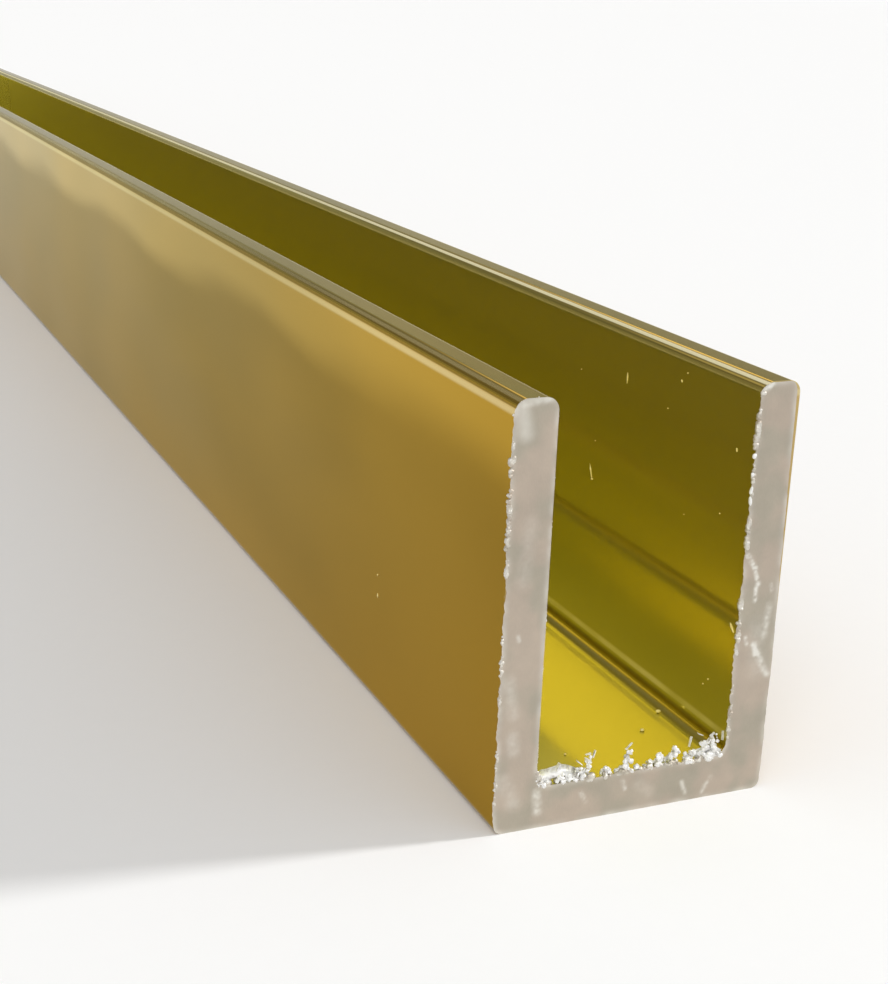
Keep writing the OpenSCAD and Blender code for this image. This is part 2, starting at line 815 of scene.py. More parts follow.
@dataclass
class ChannelBody:
    """The extruded length with its dyed skin."""

    section: Section
    finish: GoldAnodised = GoldAnodised()
    arc_steps: int = 16
    end_recess: float = 0.03 * MM
    crisp_from: float = 40.0

    def build(self) -> bpy.types.Object:
        """Extrudes the section by Geometry Nodes.

        Returns:
            The piece, closed at both ends just behind the sawn faces.
        """
        tree = ShapeTree("extruded_channel")
        section = self.section
        half = tree.size("Width", section.width) * 0.5
        height = tree.size("Height", section.height)
        slot = half - tree.size("Leg Thickness", section.leg)
        base = tree.size("Base Thickness", section.base)
        tip = tree.size("Tip Radius", section.tip_radius)
        heel = tree.size("Heel Radius", section.heel_radius)
        root = tree.size("Root Radius", section.root_radius)
        reach = tree.size("Length", section.length - 2 * self.end_recess) * 0.5
        corners = [(-half, 0.0), (half, 0.0), (half, height), (slot, height),
                   (slot, base), (-slot, base), (-slot, height), (-half, height)]
        place = tree.pick("VECTOR", [tree.vector(x, y) for x, y in corners])
        radius = tree.pick("FLOAT", [heel, heel, tip, tip, root, root, tip, tip])
        points = tree.node("GeometryNodePoints", None, {"Count": len(corners), "Position": place})
        line = tree.node("GeometryNodePointsToCurves", None, {"Points": points})
        loop = tree.node("GeometryNodeSetSplineCyclic", None, {0: line, "Cyclic": True})
        rounded = tree.node("GeometryNodeFilletCurve", {"mode": "POLY"},
                            {"Curve": loop, "Radius": radius,
                             "Count": tree.size("Arc Steps", self.arc_steps)})
        path = tree.node("GeometryNodeCurvePrimitiveLine", None,
                         {"Start": tree.vector(z=-reach), "End": tree.vector(z=reach)})
        bar = tree.node("GeometryNodeCurveToMesh", None,
                        {"Curve": path, "Profile Curve": rounded, "Fill Caps": True})
        turned = tree.node("GeometryNodeTransform", None,
                           {"Geometry": bar, "Rotation": (math.radians(90), 0.0, 0.0)})
        smooth = tree.node("GeometryNodeSetShadeSmooth", {"domain": "FACE"},
                           {"Geometry": turned, "Shade Smooth": True})
        bend = tree.node("GeometryNodeInputMeshEdgeAngle")
        crisp = tree.node("FunctionNodeCompare", {"operation": "GREATER_THAN"},
                          {0: bend, 1: math.radians(self.crisp_from)})
        edged = tree.node("GeometryNodeSetShadeSmooth", {"domain": "EDGE"},
                          {"Geometry": smooth, "Selection": crisp, "Shade Smooth": False})
        tree.close(edged, self.finish.material(section))
        piece = tree.grow("channel_skin", new_mesh("start", []), even_normals=True)
        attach(piece, BODY)
        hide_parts(NODE)
        return piece


@dataclass(frozen=True)
class Lip:
    """How far the sawn metal hangs over one wall's skin, in millimetres. A negative reach bares the skin.

    A lip that tapers has its whole reach at the tip's height and none at the height that is given.
    """

    reach: float = 0.008
    ragged: float = 0.006
    tapers_to: float | None = None

    def reach_at(self, height: float, tip_height: float) -> float:
        """The reach at a height, in millimetres.

        Args:
            height: The height above the underside.
            tip_height: The height of the leg's tip.

        Returns:
            The reach.
        """
        if self.tapers_to is None:
            return self.reach
        return self.reach * max(0.0, (height - self.tapers_to) / (tip_height - self.tapers_to))


@dataclass(frozen=True)
class Streak:
    """Metal that the teeth dragged over a sawn face, as a line between two points (X, Z) in millimetres.

    Its strength is how bright it is, and broken is how far it falls apart into flecks.
    """

    start: Pair
    stop: Pair
    width: float = 0.2
    strength: float = 0.7
    broken: float = 1.5

    def cover(self, places: np.ndarray) -> np.ndarray:
        """How strongly the streak covers each place.

        Args:
            places: X and Z of each place, in millimetres.

        Returns:
            From 0, not at all, to the streak's own strength.
        """
        start = np.array(self.start)
        along = np.array(self.stop) - start
        share = np.clip((places - start) @ along / (along @ along), 0, 1)
        gap = np.linalg.norm(places - start - share[:, None] * along, axis=1)
        near = np.clip(1 - gap / self.width, 0, 1)
        return self.strength * near * near * (3 - 2 * near)


def grain_at(places: np.ndarray, scale: float, seed: float) -> np.ndarray:
    """Smooth noise at places on a plane.

    Args:
        places: X and Z of each place, in millimetres.
        scale: Grains to a millimetre.
        seed: A number that picks the pattern.

    Returns:
        Values between about -1 and 1.
    """
    return np.array([noise.noise((x * scale, seed, z * scale)) for x, z in places])


def layered_grain(places: np.ndarray, layers: Sequence[Pair], seed: float) -> np.ndarray:
    """Adds up layers of smooth noise.

    Args:
        places: X and Z of each place, in millimetres.
        layers: The grains to a millimetre and the strength of each layer.
        seed: A number that picks the pattern.

    Returns:
        The sum at each place.
    """
    return sum(strength * grain_at(places, scale, seed) for scale, strength in layers)


@dataclass
class SawnEnd:
    """One bare end as the blade left it: a matt face with streaks, and ragged lips over the skin.

    Steps, widths and the inset are in millimetres. Layers of noise are grains to a millimetre and strengths.
    """

    section: Section
    end: End
    lips: Mapping[Wall, Lip]
    streaks: Sequence[Streak]
    finish: bpy.types.Material
    thickness: float = 0.15 * MM
    edge_step: float = 0.06
    grain: float = 0.08
    jitter: float = 0.3
    rim_gap: float = 0.6
    back_inset: float = 0.03
    lip_easing: int = 17
    lip_layers: Sequence[Pair] = ((1.2, 1.0), (3.6, 0.6), (10.8, 0.3))
    mottle_depth: float = 0.007 * MM
    mottle_layers: Sequence[Pair] = ((1.7, 1.0), (5.5, 0.5))
    streak_rise: float = 0.014 * MM
    fleck_layers: Sequence[Pair] = ((3.2, 1.0), (7.0, 0.8))
    fleck_limit: float = 1.6
    streak_limit: float = 0.9
    rim_smear: float = 0.4
    rim_width: float = 0.17
    rim_grain: float = 1.4
    rim_level: float = 0.7
    rim_limit: float = 0.6
    crisp_from: float = 50.0
    first_seed: float = 3.7
    seed_step: float = 11.0
    jitter_seed: int = 7

    @property
    def seed(self) -> float:
        """The number that picks this end's patterns."""
        return self.first_seed + self.seed_step * self.end

    def rims(self) -> tuple[np.ndarray, np.ndarray, np.ndarray]:
        """Walks round the face's edge, in millimetres.

        Returns:
            The front edge with its lips, the back edge under the skin, and the outward directions.
        """
        points, outwards, walls = self.section.outline(self.edge_step * MM)
        points = points / MM
        lips = [self.lips.get(Wall(wall), Lip()) for wall in walls]
        top = self.section.height / MM
        reaches = [lip.reach_at(height, top) for lip, (_, height) in zip(lips, points)]
        soften = np.hanning(self.lip_easing) / np.hanning(self.lip_easing).sum()
        side = self.lip_easing // 2
        reach, ragged = (np.convolve(np.pad(values, side, "wrap"), soften, "valid")
                         for values in (reaches, [lip.ragged for lip in lips]))
        waves = layered_grain(points, self.lip_layers, self.seed)
        front = points + outwards * (reach + ragged * waves)[:, None]
        return front, points - outwards * self.back_inset, outwards

    def inner_points(self, rim: np.ndarray, outwards: np.ndarray) -> tuple[np.ndarray, np.ndarray]:
        """Spreads jittered points over the face, clear of its edge.

        Args:
            rim: The front edge.
            outwards: The directions out of the metal along it.

        Returns:
            The points and how far each is from the edge, in millimetres.
        """
        rows = np.arange(0, self.section.height / MM, self.grain * math.sqrt(0.75))
        columns = np.arange(-self.section.width / 2 / MM, self.section.width / 2 / MM, self.grain)
        grid = np.array([(x + self.grain / 2 * (i % 2), z) for i, z in enumerate(rows) for x in columns])
        dice = np.random.default_rng(self.jitter_seed + self.end)
        grid += dice.uniform(-self.jitter, self.jitter, grid.shape) * self.grain
        edge = kdtree.KDTree(len(rim))
        for i, (x, z) in enumerate(rim):
            edge.insert((x, z, 0.0), i)
        edge.balance()
        kept, gaps = [], []
        for place in grid:
            _, nearest, gap = edge.find((*place, 0.0))
            if gap > self.rim_gap * self.grain and (place - rim[nearest]) @ outwards[nearest] < 0:
                kept.append(place)
                gaps.append(gap)
        return np.array(kept), np.array(gaps)

    def smears(self, places: np.ndarray, gaps: np.ndarray) -> np.ndarray:
        """How much dragged, bright metal covers each place.

        Args:
            places: X and Z of each place, in millimetres.
            gaps: How far each is from the edge.

        Returns:
            From 0, the plain cut, to 1.
        """
        flecks = layered_grain(places, self.fleck_layers, self.seed)
        streaks = sum(streak.cover(places) * np.clip(1 + streak.broken * flecks, 0, self.fleck_limit)
                      for streak in self.streaks)
        patches = self.rim_level + grain_at(places, self.rim_grain, self.seed)
        rim = self.rim_smear * np.exp(-(gaps / self.rim_width) ** 2) * patches
        return np.clip(streaks, 0, self.streak_limit) + np.clip(rim, 0, self.rim_limit)

    def fill(self, places: np.ndarray, rim_count: int) -> list[list[int]]:
        """Triangulates a face inside its rim.

        Args:
            places: The rim's points in order, then the inner points.
            rim_count: How many of them are the rim's.

        Returns:
            The triangles, turning left as seen with X to the right and Z up.
        """
        points = [Vector(place) for place in places]
        return geometry.delaunay_2d_cdt(points, [], [list(range(rim_count))], 1, 1e-6)[2]

    def build(self) -> bpy.types.Object:
        """Makes the face as a thin closed plate.

        Returns:
            The piece.
        """
        front_rim, back_rim, outwards = self.rims()
        count = len(front_rim)
        inner, gaps = self.inner_points(front_rim, outwards)
        front = np.vstack([front_rim, inner])
        cover = np.clip(self.smears(front, np.append(np.zeros(count), gaps)), 0, 1)
        mottle = layered_grain(front, self.mottle_layers, self.seed)
        depth = self.section.length / 2 + self.mottle_depth * mottle + self.streak_rise * cover
        points = [(x * MM, self.end * y, z * MM) for (x, z), y in zip(front, depth)]
        back = self.section.length / 2 - self.thickness
        points += [(x * MM, self.end * back, z * MM) for x, z in back_rim]
        faces = self.fill(front, count)
        faces += [[i + len(front) for i in reversed(face)] for face in self.fill(back_rim, count)]
        for i in range(count):
            ahead = (i + 1) % count
            faces.append([ahead, i, len(front) + i, len(front) + ahead])
        if self.end == End.FAR:
            faces = [face[::-1] for face in faces]
        mesh = new_mesh(f"sawn_end_{self.end.name.lower()}", points, (), faces)
        carry(mesh, "smear", "FLOAT", [*cover, *[0.0] * count])
        mesh.shade_smooth()
        mesh.set_sharp_from_angle(angle=math.radians(self.crisp_from))
        mesh.materials.append(self.finish)
        piece = new_piece(mesh.name, mesh)
        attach(piece, BODY)
        return piece


class ChipKind(IntEnum):
    """The forms that torn metal takes."""

    CRUMB = 0
    FLAKE = 1
    CURL = 2


@dataclass(frozen=True)
class Chip:
    """One bit of torn metal. Its place is in millimetres from the middle of the near end's lower edge."""

    kind: ChipKind
    place: Triple
    size: Triple
    aim: Triple = (1.0, 0.0, 0.0)


class ChipTree(ShapeTree):
    """A tree that sets torn bits of metal on points."""

    def __init__(self, name: str, seed: int) -> None:
        """Makes an empty tree whose chance starts from a seed."""
        super().__init__(name)
        self.seed = self.size("Seed", seed)

    def luck(self, low: Value, high: Value, turn: int, kind: str = "FLOAT") -> Wire:
        """A random value for each point.

        Args:
            low: The least that it can be.
            high: The most that it can be.
            turn: Which of the tree's random draws this is.
            kind: FLOAT or FLOAT_VECTOR.

        Returns:
            The value.
        """
        seed = self.seed + float(turn)
        least, most, output = (0, 1, 0) if kind == "FLOAT_VECTOR" else (2, 3, 1)
        return self.node("FunctionNodeRandomValue", {"data_type": kind},
                         {least: low, most: high, "Seed": seed}, output)

    def shape(self, kind: ChipKind) -> Wire:
        """One chip of a kind, about one metre across before it is scaled.

        Args:
            kind: The form.

        Returns:
            Its mesh.
        """
        if kind == ChipKind.CRUMB:
            return self.node("GeometryNodeMeshIcoSphere", None, {"Radius": 0.5, "Subdivisions": 2})
        if kind == ChipKind.FLAKE:
            return self.node("GeometryNodeMeshCube", None, {"Size": (1.0, 0.7, 0.22), "Vertices X": 5,
                                                            "Vertices Y": 4, "Vertices Z": 2})
        spiral = self.node("GeometryNodeCurveSpiral", None,
                           {"Resolution": 24, "Rotations": 1.2, "Start Radius": 0.5, "End Radius": 0.36,
                            "Height": 0.25})
        strip = self.node("GeometryNodeCurvePrimitiveQuadrilateral", None, {"Width": 0.09, "Height": 0.75})
        wound = self.node("GeometryNodeCurveToMesh", None,
                          {"Curve": spiral, "Profile Curve": strip, "Fill Caps": True})
        return self.node("GeometryNodeTransform", None,
                         {"Geometry": wound, "Rotation": (math.radians(90), 0.0, 0.0)})

    def tumbled(self) -> Wire:
        """A rotation any way round for each point."""
        turns = self.luck((0.0, 0.0, 0.0), (math.tau, math.tau, math.tau), 1, "FLOAT_VECTOR")
        return self.node("FunctionNodeEulerToRotation", None, {"Euler": turns})

    def set_on(self, points: Wire, kind: Wire, turn: Wire, size: Wire) -> Wire:
        """Sets a chip on every point.

        Args:
            points: The points.
            kind: Each point's kind of chip, as a number.
            turn: Each chip's rotation.
            size: Each chip's size along its own axes.

        Returns:
            The chips, made real.
        """
        chips = [self.node("GeometryNodeInstanceOnPoints", None,
                           {"Points": points, "Selection": kind.maths("COMPARE", kind, float(form), 0.5),
                            "Instance": self.shape(form), "Rotation": turn, "Scale": size})
                 for form in ChipKind]
        return self.node("GeometryNodeRealizeInstances", None,
                         {"Geometry": self.node("GeometryNodeJoinGeometry", None, {"Geometry": chips})})

    def fused(self, points: Wire, radius: Wire, voxel: float) -> Wire:
        """Melts points into lumps that join where they are close.

        Args:
            points: The points.
            radius: Each point's radius.
            voxel: The size of the smallest detail.

        Returns:
            The lumps as closed meshes.
        """
        cloud = self.node("GeometryNodePointsToVolume", {"resolution_mode": "VOXEL_SIZE"},
                          {"Points": points, "Voxel Size": self.size("Voxel Size", voxel), "Radius": radius})
        lumps = self.node("GeometryNodeVolumeToMesh", None, {"Volume": cloud, "Threshold": 0.1})
        return self.node("GeometryNodeSetShadeSmooth", {"domain": "FACE"}, {0: lumps, "Shade Smooth": True})

    def torn(self, shape: Wire, depth: Value, grain: float) -> Wire:
        """Roughens chips so that no two are alike.

        Args:
            shape: The chips.
            depth: How far their surface moves in and out.
            grain: The size of the dents.

        Returns:
            The rough chips.
        """
        place = self.node("GeometryNodeInputPosition")
        dents = self.node("ShaderNodeTexNoise", None,
                          {"Vector": place, "Scale": 1 / grain, "Detail": 1.0, "Roughness": 0.5}, "Color")
        centred = self.node("ShaderNodeVectorMath", {"operation": "SUBTRACT"}, {0: dents, 1: (0.5, 0.5, 0.5)})
        return self.node("GeometryNodeSetPosition", None,
                         {"Geometry": shape, "Offset": self.scaled(centred, depth)})

    def finished(self, name: str, shape: Wire, start: bpy.types.Mesh,
                 finish: bpy.types.Material) -> bpy.types.Object:
        """Closes the tree, runs it and fixes the chips to the channel.

        Args:
            name: The piece's name.
            shape: The chips.
            start: The mesh that the tree starts from.
            finish: Their finish.

        Returns:
            The piece.
        """
        self.close(shape, finish)
        piece = self.grow(name, start)
        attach(piece, BODY)
        return piece


@dataclass(frozen=True)
class Burr:
    """A torn edge of the near end, as a line between two points (X, Z), and its radius, in millimetres.

    Steady is the share of its radius that the ridge keeps where it is thinnest.
    """

    start: Pair
    stop: Pair
    radius: float
    steady: float = 0.05


@dataclass
class EdgeBurr:
    """Lumpy ridges of torn metal along edges that the teeth left last."""

    section: Section
    finish: bpy.types.Material
    edges: Sequence[Burr]
    seed: int = 11
    setback: float = 0.03 * MM
    spacing: float = 0.04 * MM
    voxel: float = 0.03 * MM
    lump: float = 0.8 * MM
    lump_range: Pair = (0.42, 0.68)
    shine_grains_to_lump: float = 2.0
    shine_range: Pair = (0.35, 0.65)
    shine: Pair = (0.1, 0.7)
    shake: tuple[Triple, Triple] = ((-0.5, -0.3, -0.5), (0.5, 0.5, 0.5))
    tear_depth: float = 0.03 * MM
    tear_grain: float = 0.08 * MM

    def start(self) -> bpy.types.Mesh:
        """The edges as lines, with the radius that a burr may reach on them."""
        front = -self.section.length / 2 + self.setback
        ends = [end for edge in self.edges for end in (edge.start, edge.stop)]
        pairs = [(2 * i, 2 * i + 1) for i in range(len(self.edges))]
        mesh = new_mesh("burr_edges", [(x * MM, front, z * MM) for x, z in ends], pairs)
        carry(mesh, "swell", "FLOAT", [edge.radius * MM for edge in self.edges for _ in range(2)])
        carry(mesh, "steady", "FLOAT", [edge.steady for edge in self.edges for _ in range(2)])
        return mesh

    def build(self) -> bpy.types.Object:
        """Lays the ridges along the edges by Geometry Nodes.

        Returns:
            The piece.
        """
        tree = ChipTree("edge_burr", self.seed)
        line = tree.node("GeometryNodeMeshToCurve", None, {"Mesh": tree.given()})
        beads = tree.node("GeometryNodeCurveToPoints", {"mode": "LENGTH"},
                          {"Curve": line, "Length": tree.size("Spacing", self.spacing)})
        swell = tree.carried("swell")
        place = tree.node("GeometryNodeInputPosition")
        ridge = tree.noise(place, 1 / self.lump, 2.0, 0.6)
        shake = tree.luck(*self.shake, 2, "FLOAT_VECTOR")
        strewn = tree.node("GeometryNodeSetPosition", None,
                           {"Geometry": beads, "Offset": tree.scaled(shake, swell)})
        radius = swell * tree.ramp(ridge, *self.lump_range, tree.carried("steady"), 1.0)
        lumps = tree.torn(tree.fused(strewn, radius, self.voxel), self.tear_depth, self.tear_grain)
        gleam = tree.noise(place, self.shine_grains_to_lump / self.lump, 1.0)
        shine = tree.ramp(gleam, *self.shine_range, *self.shine)
        marked = tree.node("GeometryNodeStoreNamedAttribute", {"data_type": "FLOAT", "domain": "POINT"},
                           {"Geometry": lumps, "Name": "smear", "Value": shine})
        return tree.finished("edge_burr", marked, self.start(), self.finish)


@dataclass(frozen=True)
class Heap:
    """A pile of torn metal on the slot's floor: middle along X, width, height and lean, in millimetres."""

    place: float
    width: float
    height: float
    lean: float = 0.0


@dataclass
class Swarf:
    """Heaps of torn metal along the front of the slot's floor, with flakes that stick out of them.

    Crumbs and scraps are counted to a heap, and their sizes and spread are shares of its width.
    """

    section: Section
    finish: bpy.types.Material
    heaps: Sequence[Heap]
    seed: int = 23
    setback: float = 0.16 * MM
    voxel: float = 0.03 * MM
    spread_at_foot: float = 0.5
    spread_lost: float = 0.28
    depth_range: Pair = (-0.8, 1.0)
    crumbs: int = 16
    crumb_sizes: Pair = (0.14, 0.32)
    size_at_foot: float = 1.1
    size_lost: float = 0.5
    scraps: int = 5
    scrap_sizes: Pair = (0.25, 0.6)
    kind_range: Pair = (ChipKind.FLAKE - 0.49, ChipKind.FLAKE + 0.49)
    tear_depth: float = 0.12 * MM
    tear_grain: float = 0.1 * MM

    def start(self) -> bpy.types.Mesh:
        """The middle of each heap on the slot's floor, with its sizes."""
        front = -self.section.length / 2 + self.setback
        mesh = new_mesh("heaps", [(heap.place * MM, front, self.section.base) for heap in self.heaps])
        carry(mesh, "width", "FLOAT", [heap.width * MM for heap in self.heaps])
        carry(mesh, "rise", "FLOAT", [heap.height * MM for heap in self.heaps])
        carry(mesh, "lean", "FLOAT", [heap.lean * MM for heap in self.heaps])
        return mesh

    def strewn(self, tree: ChipTree, points: Wire, count: Wire, turn: int) -> tuple[Wire, Wire]:
        """Strews points over every heap.

        Args:
            tree: The tree that they go into.
            points: The heaps' middles.
            count: How many points each heap gets.
            turn: The first of the random draws that are used.

        Returns:
            The points, and how far up its heap each one is, from 0 to 1.
        """
        crowd = tree.node("GeometryNodeDuplicateElements", {"domain": "POINT"},
                          {"Geometry": points, "Amount": count})
        climb = tree.luck(0.0, 1.0, turn)
        spread = tree.carried("width") * (self.spread_at_foot - self.spread_lost * climb)
        aside = tree.luck(-1.0, 1.0, turn + 1) * spread + tree.carried("lean") * climb
        back = tree.luck(*self.depth_range, turn + 2) * spread
        up = tree.carried("rise") * climb
        placed = tree.node("GeometryNodeSetPosition", None,
                           {"Geometry": crowd, "Offset": tree.vector(aside, back, up)})
        return placed, climb

    def build(self) -> bpy.types.Object:
        """Piles up the crumbs and flakes by Geometry Nodes.

        Returns:
            The piece.
        """
        tree = ChipTree("saw_swarf", self.seed)
        middles = tree.node("GeometryNodeMeshToPoints", None, {"Mesh": tree.given()})
        width = tree.carried("width")
        crumbs, climb = self.strewn(tree, middles, tree.size("Crumbs", self.crumbs), 2)
        radius = width * tree.luck(*self.crumb_sizes, 5) * (self.size_at_foot - self.size_lost * climb)
        lumps = tree.fused(crumbs, radius, self.voxel)
        scraps, _ = self.strewn(tree, middles, tree.size("Scraps", self.scraps), 12)
        size = tree.luck(*self.scrap_sizes, 16) * width
        kind = tree.luck(*self.kind_range, 17)
        flakes = tree.set_on(scraps, kind, tree.tumbled(), tree.vector(size, size, size))
        heaped = tree.node("GeometryNodeJoinGeometry", None, {"Geometry": [lumps, flakes]})
        torn = tree.torn(heaped, self.tear_depth, self.tear_grain)
        return tree.finished("saw_swarf", torn, self.start(), self.finish)


@dataclass
class LooseChips:
    """Single crumbs, flakes and curls that lie where the photograph shows them."""

    name: str
    section: Section
    finish: bpy.types.Material
    chips: Sequence[Chip]
    seed: int = 5
    tear_share: float = 0.12
    tear_grain: float = 0.2 * MM

    def start(self) -> bpy.types.Mesh:
        """A point for each chip, with its kind, size and direction."""
        near_end = np.array((0.0, -self.section.length / 2, 0.0))
        mesh = new_mesh("chip_places", [near_end + np.array(chip.place) * MM for chip in self.chips])
        carry(mesh, "kind", "FLOAT", [float(chip.kind) for chip in self.chips])
        carry(mesh, "size", "FLOAT_VECTOR", [np.array(chip.size) * MM for chip in self.chips])
        carry(mesh, "aim", "FLOAT_VECTOR", [chip.aim for chip in self.chips])
        return mesh

    def build(self) -> bpy.types.Object:
        """Sets each chip on its point by Geometry Nodes.

        Returns:
            The piece.
        """
        tree = ChipTree(self.name, self.seed)
        points = tree.node("GeometryNodeMeshToPoints", None, {"Mesh": tree.given()})
        turn = tree.node("FunctionNodeAlignRotationToVector", {"axis": "X"},
                         {"Vector": tree.carried("aim", "FLOAT_VECTOR")})
        size = tree.carried("size", "FLOAT_VECTOR")
        chips = tree.set_on(points, tree.carried("kind"), turn, size)
        tear = self.tear_share * tree.node("ShaderNodeSeparateXYZ", None, {"Vector": size}, "X")
        return tree.finished(self.name, tree.torn(chips, tear, self.tear_grain), self.start(), self.finish)


NEAR_LIPS = {
    Wall.RIGHT_INSIDE: Lip(0.09, 0.12),
    Wall.LEFT_OUTSIDE: Lip(0.05, 0.09),
    Wall.SLOT_FLOOR: Lip(0.03, 0.03),
    Wall.RIGHT_OUTSIDE: Lip(-0.2, 0.03, 7.0),
    Wall.RIGHT_TIP: Lip(-0.03, 0.015),
}
NEAR_STREAKS = [
    Streak((5.1, 11.95), (5.55, 11.3)),
    Streak((5.55, 11.3), (5.8, 10.5)),
    Streak((5.7, 10.3), (5.7, 9.7), 0.18),
    Streak((6.5, 10.4), (6.6, 10.1), 0.16, 0.5),
    Streak((6.55, 9.4), (6.4, 7.9), 0.3, 0.4, 0.9),
    Streak((5.4, 7.9), (5.5, 7.6), 0.16, 0.5),
    Streak((5.9, 7.5), (6.1, 7.0), 0.26, 0.8, 0.8),
    Streak((6.1, 7.0), (6.8, 5.9), 0.28, 0.5, 0.8),
    Streak((6.0, 8.4), (6.2, 6.2), 0.8, 0.14, 0.7),
    Streak((5.1, 19.6), (5.5, 19.9), 0.22),
    Streak((-6.65, 19.4), (-6.45, 18.5), 0.6, 0.45, 0.15),
    Streak((-6.6, 19.75), (-5.4, 19.9), 0.25, 0.45, 0.4),
    Streak((-4.95, 1.75), (-4.85, 0.8), 0.36, 0.5, 0.8),
    Streak((-2.7, 1.4), (-2.4, 0.9), 0.2, 0.4),
    Streak((-0.55, 1.6), (-0.4, 1.2), 0.2, 0.45),
    Streak((0.3, 1.3), (0.9, 0.8), 0.5, 0.14, 0.6),
    Streak((2.65, 1.0), (2.9, 0.4), 0.2, 0.4),
    Streak((4.25, 1.0), (3.8, 0.3), 0.2, 0.35),
    Streak((-6.3, 9.45), (-6.25, 9.25), 0.16, 0.6, 0.6),
    Streak((-6.6, 7.4), (-6.35, 5.8), 0.5, 0.22, 0.6),
    Streak((-6.3, 4.7), (-6.2, 4.0), 0.5, 0.26, 0.6),
    Streak((-6.6, 2.6), (-6.1, 1.4), 0.6, 0.2, 0.6),
    Streak((-6.0, 14.5), (-6.2, 12.0), 0.6, 0.12, 0.6),
]
FAR_LIPS = {
    Wall.LEFT_INSIDE: Lip(0.05, 0.05),
    Wall.RIGHT_OUTSIDE: Lip(0.03, 0.04),
    Wall.SLOT_FLOOR: Lip(0.02, 0.02),
}
FAR_STREAKS = [
    Streak((5.6, 14.0), (5.9, 12.6), 0.14, 0.6),
    Streak((-6.0, 8.6), (-5.6, 7.4), 0.16, 0.6),
    Streak((-1.0, 1.5), (-0.6, 0.8), 0.14, 0.5),
]
NEAR_BURRS = [
    Burr((5.0, 2.8), (4.98, 19.3), 0.11),
    Burr((5.03, 19.5), (5.4, 19.96), 0.15),
    Burr((-7.0, 1.0), (-7.0, 19.3), 0.09),
    Burr((-6.75, 19.85), (-5.9, 20.0), 0.08),
    Burr((-4.5, 2.03), (4.5, 2.03), 0.17),
    Burr((-4.98, 2.7), (-4.6, 2.05), 0.13),
    Burr((4.6, 2.1), (4.98, 2.7), 0.12),
    Burr((-5.0, 2.8), (-5.0, 19.2), 0.04),
    Burr((4.97, 18.7), (4.94, 17.0), 0.13, 0.6),
    Burr((-7.0, 17.5), (-7.02, 17.25), 0.14, 0.8),
    Burr((-7.03, 16.95), (-7.03, 16.7), 0.12, 0.7),
    Burr((-7.03, 16.1), (-7.05, 15.2), 0.13, 0.6),
    Burr((-7.05, 14.1), (-7.05, 13.45), 0.14, 0.6),
]
HEAPS = [
    Heap(-4.78, 0.5, 0.5),
    Heap(-4.35, 0.38, 0.2),
    Heap(-3.72, 0.55, 0.35),
    Heap(-3.4, 0.4, 0.4),
    Heap(-2.95, 0.35, 0.2),
    Heap(-2.68, 0.4, 0.6, -0.1),
    Heap(-2.4, 0.42, 1.1, 0.1),
    Heap(-1.36, 0.42, 0.35),
    Heap(-0.7, 0.3, 0.15),
    Heap(-0.32, 0.52, 0.95, 0.15),
    Heap(0.25, 0.3, 0.2),
    Heap(0.83, 0.34, 0.35, 0.1),
    Heap(1.38, 0.5, 0.7, 0.1),
    Heap(2.14, 0.56, 0.8, 0.15),
    Heap(3.0, 0.52, 0.45, 0.15),
    Heap(3.55, 0.3, 0.2),
    Heap(3.8, 0.6, 0.75, 0.1),
    Heap(4.15, 0.62, 0.9),
    Heap(4.25, 0.5, 1.2, 0.1),
    Heap(4.65, 0.38, 0.3),
]
LOOSE_CHIPS = [
    Chip(ChipKind.CURL, (-3.8, 0.35, 2.05), (2.2, 0.5, 1.15)),
    Chip(ChipKind.FLAKE, (-2.8, 0.1, 2.85), (0.35, 0.2, 0.2), (0.7, 0.0, -0.6)),
    Chip(ChipKind.FLAKE, (-3.75, 0.3, 2.7), (0.34, 0.3, 0.5), (0.4, 0.0, 0.8)),
    Chip(ChipKind.FLAKE, (-1.9, 0.4, 3.0), (0.35, 0.16, 0.2), (0.3, 0.1, 0.9)),
    Chip(ChipKind.FLAKE, (-2.2, 0.4, 3.05), (0.3, 0.14, 0.16), (0.9, 0.2, 0.1)),
    Chip(ChipKind.FLAKE, (-0.1, 0.4, 3.1), (0.5, 0.14, 0.16), (0.8, 0.3, 0.4)),
    Chip(ChipKind.FLAKE, (3.2, 0.4, 2.8), (0.5, 0.16, 0.16), (0.3, 0.2, 0.8)),
    Chip(ChipKind.FLAKE, (3.65, 0.3, 3.15), (0.45, 0.14, 0.16), (0.7, 0.2, -0.4)),
    Chip(ChipKind.FLAKE, (4.9, 0.3, 2.9), (0.45, 0.18, 0.2), (0.1, 0.2, 0.9)),
    Chip(ChipKind.CRUMB, (4.92, 0.02, 16.64), (0.28, 0.18, 0.2), (0.4, 0.0, 0.9)),
    Chip(ChipKind.CRUMB, (4.92, 0.02, 15.77), (0.24, 0.18, 0.18), (-0.3, 0.0, 0.9)),
    Chip(ChipKind.CRUMB, (4.92, 0.02, 15.05), (0.42, 0.18, 0.14), (0.2, 0.0, 0.9)),
    Chip(ChipKind.CRUMB, (4.93, 0.02, 14.55), (0.46, 0.18, 0.15), (-0.1, 0.0, 0.9)),
]
# Crumbs tinted pale gold, with gold-grey painted shade in patches: the gold tint is a painted reflection of
# the gold walls around them.
GOLD_LIT_CHIP = BrightChip("gold_lit_fleck", (0.97, 0.84, 0.38), (0.85, 0.7, 0.28))
